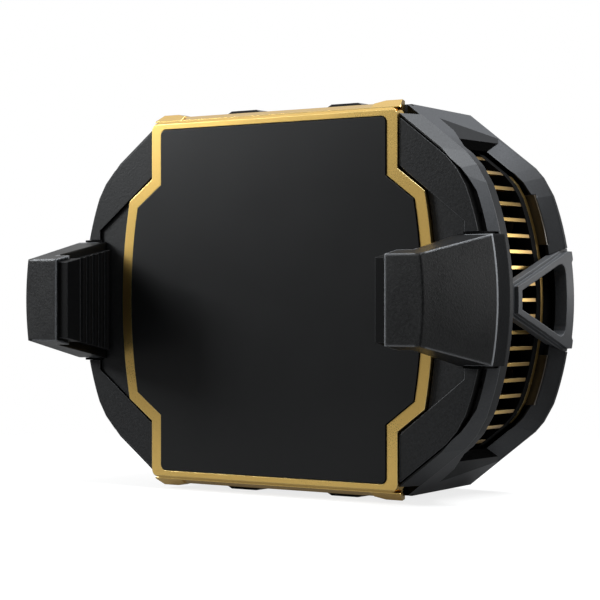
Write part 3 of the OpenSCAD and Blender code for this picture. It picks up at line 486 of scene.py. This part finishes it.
# The arms carry painted shade on the foot behind ARM_BACK, after a painted highlight line.
arm_grey = finish("arm_grey", (0.0036, 0.0038, 0.0042), 0.42, specular=0.36, grain=2800.0, bump=0.4,
                  patch=0.15, gloss_range=0.1, edge=0.0006, rubbed_and_lit_edge=ARM_EDGE_WEAR_AND_HIGHLIGHT, crease=ARM_CREASE, inner=ARM_INNER,
                  foot=(ARM_BACK, (0.02, 0.0205, 0.0215), ARM_EDGE_WEAR_AND_HIGHLIGHT))
pad_rubber = finish("pad_rubber", (0.002, 0.002, 0.0022), 0.55, specular=0.1, grain=2600.0, bump=0.2,
                    patch=0.2, edge=0.00025, rubbed_and_lit_edge=(0.035, 0.036, 0.038))
fan_black = finish("fan_black", (0.006, 0.006, 0.007), 0.42, grain=3200.0, bump=0.1, patch=0.15,
                   gloss_range=0.1, edge=0.00015, rubbed_and_lit_edge=(0.03, 0.031, 0.033))
duct_black = finish("duct_black", (0.0012, 0.0012, 0.0013), 0.72, specular=0.06, grain=3200.0, bump=0.1,
                    patch=0.15, gloss_range=0.1, rubbed_and_lit_edge=(0.006, 0.006, 0.0065))
lens_smoke = finish("lens_smoke", (0.035, 0.024, 0.011), 0.28, specular=0.4, grain=1500.0, bump=0.02,
                    tint=0.2, patch=0.2, gloss_range=0.04, coat=0.15)
ceramic_white = finish("ceramic_white", (0.78, 0.77, 0.73), 0.6, grain=2200.0, bump=0.12, tint=0.05,
                       patch=0.05)
pellet_grey = finish("pellet_grey", (0.25, 0.25, 0.27), 0.45, metal=1.0, grain=2600.0, bump=0.2, tint=0.2)
foam_black = finish("foam_black", (0.02, 0.02, 0.02), 0.9, specular=0.3, grain=1400.0, bump=0.6, tint=0.4)
bronze = finish("bronze", (0.52, 0.33, 0.16), 0.42, metal=1.0, grain=3000.0, bump=0.2, tint=0.2)
magnet_grey = finish("magnet_grey", (0.09, 0.09, 0.1), 0.5, metal=0.6, grain=2600.0, bump=0.25)
steel = finish("steel", (0.62, 0.63, 0.65), 0.28, metal=1.0, grain=900.0, bump=0.05, tint=0.08, patch=0.06,
               gloss_range=0.1, stretch=(1.0, 8.0, 1.0))
black_steel = finish("black_steel", (0.05, 0.05, 0.054), 0.4, metal=0.7, grain=2800.0, bump=0.12, tint=0.2,
                     gloss_range=0.1)
contact_black = finish("contact_black", (0.012, 0.012, 0.012), 0.45, grain=3000.0, bump=0.1, tint=0.2)
copper_coil = coil_finish("copper_coil", (0.55, 0.24, 0.09))
board_green = board_finish("board_green", (0.012, 0.085, 0.04))

# The finish of each CAD node

DRESS = {
    "cold_plate": plate_black,
    "gold_frame": frame_gold,
    "top_trim": trim_gold,
    "bottom_trim": trim_gold,
    "left_upper_cover": cover_grey,
    "left_lower_cover": cover_grey,
    "right_upper_cover": cover_grey,
    "right_lower_cover": cover_grey,
    "left_rail_cover": rail_grey,
    "right_rail_cover": rail_grey,
    "front_shell": band_grey,
    "rear_housing": ring_grey,
    "left_strut": shell_grey,
    "right_strut": shell_grey,
    "left_arm": arm_grey,
    "right_arm": arm_grey,
    "left_grip_pad": pad_rubber,
    "right_grip_pad": pad_rubber,
    "left_lip_pad": pad_rubber,
    "right_lip_pad": pad_rubber,
    "left_lenses": lens_smoke,
    "right_lenses": lens_smoke,
    "heatsink_base": fin_gold,
    "heatsink_fins": fin_gold,
    "fan_trim": rail_gold,
    "grille_badge": badge_gold,
    "fan_frame": duct_black,
    "impeller": fan_black,
    "rear_grille": fan_black,
    "bearing_sleeve": bronze,
    "motor_stator": copper_coil,
    "rotor_magnet": magnet_grey,
    "fan_shaft": steel,
    "cold_ceramic": ceramic_white,
    "hot_ceramic": ceramic_white,
    "cell_pellets": pellet_grey,
    "insulation_gasket": foam_black,
    "control_board": board_green,
    "usb_socket": steel,
    "usb_tongue": contact_black,
    "left_springs": steel,
    "right_springs": steel,
    "case_screws": black_steel,
    "plate_screws": steel,
    "fan_screws": black_steel,
}

for node, mat in DRESS.items():
    mesh = nodes[node].data
    for i in range(len(mesh.materials)):
        mesh.materials[i] = mat


# Pieces of the scene's own

def add_piece(name, form, mat):
    """Makes an object of a finished form and empties the form."""
    mesh = bpy.data.meshes.new(name)
    form.to_mesh(mesh)
    form.free()
    mesh.materials.append(mat)
    obj = bpy.data.objects.new(name, mesh)
    scene.collection.objects.link(obj)
    return obj


# Return springs

SPRING_TURNS = 11
SPRING_STEPS = 18 * SPRING_TURNS
WIRE_SIDES = 6
WIRE_RADIUS = 0.00015


def coil_pair(name, node):
    """Two coil springs in place of a node's plain tubes."""
    low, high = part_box(node)
    across = (high[1] - low[1]) / 2
    length = high[0] - low[0]
    form = bmesh.new()
    for z in (across - high[2], high[2] - across):
        rings = []
        for i in range(SPRING_STEPS + 1):
            turn = 2 * math.pi * SPRING_TURNS * i / SPRING_STEPS
            x = low[0] + WIRE_RADIUS + (length - 2 * WIRE_RADIUS) * i / SPRING_STEPS
            ring = []
            for j in range(WIRE_SIDES):
                angle = 2 * math.pi * j / WIRE_SIDES
                radius = across - WIRE_RADIUS + WIRE_RADIUS * math.cos(angle)
                ring.append(form.verts.new((x + WIRE_RADIUS * math.sin(angle),
                                            low[1] + across + radius * math.cos(turn),
                                            z + radius * math.sin(turn))))
            rings.append(ring)
        for first, second in zip(rings, rings[1:]):
            for j in range(WIRE_SIDES):
                k = (j + 1) % WIRE_SIDES
                form.faces.new((first[j], first[k], second[k], second[j]))
        form.faces.new(rings[0])
        form.faces.new(rings[-1][::-1])
    bmesh.ops.recalc_face_normals(form, faces=form.faces)
    for face in form.faces:
        face.smooth = len(face.verts) == 4
    obj = add_piece(name, form, steel)
    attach(obj, "body")
    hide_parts(node)
    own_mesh(obj)


coil_pair("left_coils", "left_springs")
coil_pair("right_coils", "right_springs")


# Dust seals in the gaps beside the arms' feet

SEAL_INNER = 0.036
SEAL_OUTER = 0.0397
SEAL_FRONT = 0.0006
SEAL_BACK = 0.0043
SEAL_LOW = 0.01003
SEAL_HIGH = 0.01038


def dust_seals(name):
    """Four thin rubber strips that stand on the front shell, just clear of the sliding arms."""
    form = bmesh.new()
    for side in (-1, 1):
        for up in (-1, 1):
            strip = bmesh.ops.create_cube(form, size=1.0)["verts"]
            for vert in strip:
                vert.co.x = side * (SEAL_OUTER if vert.co.x > 0 else SEAL_INNER)
                vert.co.y = SEAL_BACK if vert.co.y > 0 else SEAL_FRONT
                vert.co.z = up * (SEAL_HIGH if vert.co.z > 0 else SEAL_LOW)
    bmesh.ops.recalc_face_normals(form, faces=form.faces)
    obj = add_piece(name, form, duct_black)
    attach(obj, "body")


dust_seals("dust_seals")


# Floor

FLOOR_Z = cad_box[0][2] - 0.00005
FLOOR_REACH = 0.4
FLOOR_FADE = (0.06, 0.16)
FLOOR_SHADE = 0.24
FLOOR_GLOW = 0.7
FLOOR_MIRROR_GLOW = 0.1
WHITE = (1, 1, 1, 1)


def add_rays(tree):
    """Which rays come straight from the camera, and which from it or through a mirror or glass."""
    rays = tree.nodes.new("ShaderNodeLightPath")
    direct = rays.outputs["Is Camera Ray"]
    seen = add_math(tree, "MAXIMUM", direct, rays.outputs["Is Glossy Ray"])
    return direct, add_math(tree, "MAXIMUM", seen, rays.outputs["Is Transmission Ray"])


floor_mesh = bpy.data.meshes.new("floor")
floor_corners = [(-FLOOR_REACH, -FLOOR_REACH, 0), (FLOOR_REACH, -FLOOR_REACH, 0),
                 (FLOOR_REACH, FLOOR_REACH, 0), (-FLOOR_REACH, FLOOR_REACH, 0)]
floor_mesh.from_pydata(floor_corners, [], [(0, 1, 2, 3)])
floor = bpy.data.objects.new("floor", floor_mesh)
floor.location = (0, 0, FLOOR_Z)
scene.collection.objects.link(floor)

floor_mat, tree, shader, place = new_material("floor_white")
set_input(shader, "Base Color", (FLOOR_SHADE, FLOOR_SHADE, FLOOR_SHADE, 1))
set_input(shader, "Roughness", 0.9)
set_input(shader, "Specular IOR Level", 0.0)
set_input(shader, "Emission Color", WHITE)
direct, seen = add_rays(tree)
glow = add_math(tree, "ADD", add_math(tree, "MULTIPLY", seen, FLOOR_MIRROR_GLOW),
                add_math(tree, "MULTIPLY", direct, FLOOR_GLOW))
tree.links.new(glow, shader.inputs["Emission Strength"])
away = tree.nodes.new("ShaderNodeVectorMath")
away.operation = "LENGTH"
tree.links.new(place, away.inputs[0])
tree.links.new(add_range(tree, away.outputs["Value"], 1.0, 0.0, *FLOOR_FADE), shader.inputs["Alpha"])
floor_mesh.materials.append(floor_mat)


# World: white to the camera, and a soft light that grows upward and to the left

WORLD_UP = 0.9
WORLD_LEFT = -0.25
WORLD_TOP = 0.8

world = bpy.data.worlds.new("world")
world.use_nodes = True
scene.world = world
tree = world.node_tree
background = tree.nodes["Background"]
set_input(background, "Color", WHITE)
direct, seen = add_rays(tree)
way = tree.nodes.new("ShaderNodeTexCoord")
x, _, z = add_split(tree, way.outputs["Generated"])
height = add_math(tree, "ADD", add_math(tree, "MULTIPLY", z, WORLD_UP),
                  add_math(tree, "MULTIPLY", x, WORLD_LEFT))
studio = add_range(tree, height, 0.02, 0.6, 0.0, WORLD_TOP)
mirror = add_math(tree, "MULTIPLY", seen, add_range(tree, height, 0.03, 0.9, 0.0, WORLD_TOP))
only = add_math(tree, "MAXIMUM", direct, mirror)
tree.links.new(add_math(tree, "MAXIMUM", only, studio), background.inputs["Strength"])


# Lamps

COOL = (0.95, 0.98, 1.0)


def lamp(name, place, aim, size, watts, colour=(1, 1, 1)):
    """A square soft box at place that shines at aim."""
    data = bpy.data.lights.new(name, "AREA")
    data.size = size
    data.energy = watts
    data.color = colour
    obj = bpy.data.objects.new(name, data)
    obj.location = place
    obj.rotation_euler = (Vector(aim) - Vector(place)).to_track_quat("-Z", "Y").to_euler()
    scene.collection.objects.link(obj)


lamp("key", (-0.25, -0.15, 0.13), (-0.01, 0, 0), 0.11, 0.86, COOL)
lamp("top", (0.12, 0.02, 0.45), (0, 0.01, 0), 0.26, 1.8, COOL)
lamp("fill", (0.28, 0.03, 0.48), (0.02, 0.015, 0), 0.2, 2.6, COOL)
lamp("rim", (0.3, 0.45, 0.06), (0.03, 0.01, 0), 0.16, 0.5)
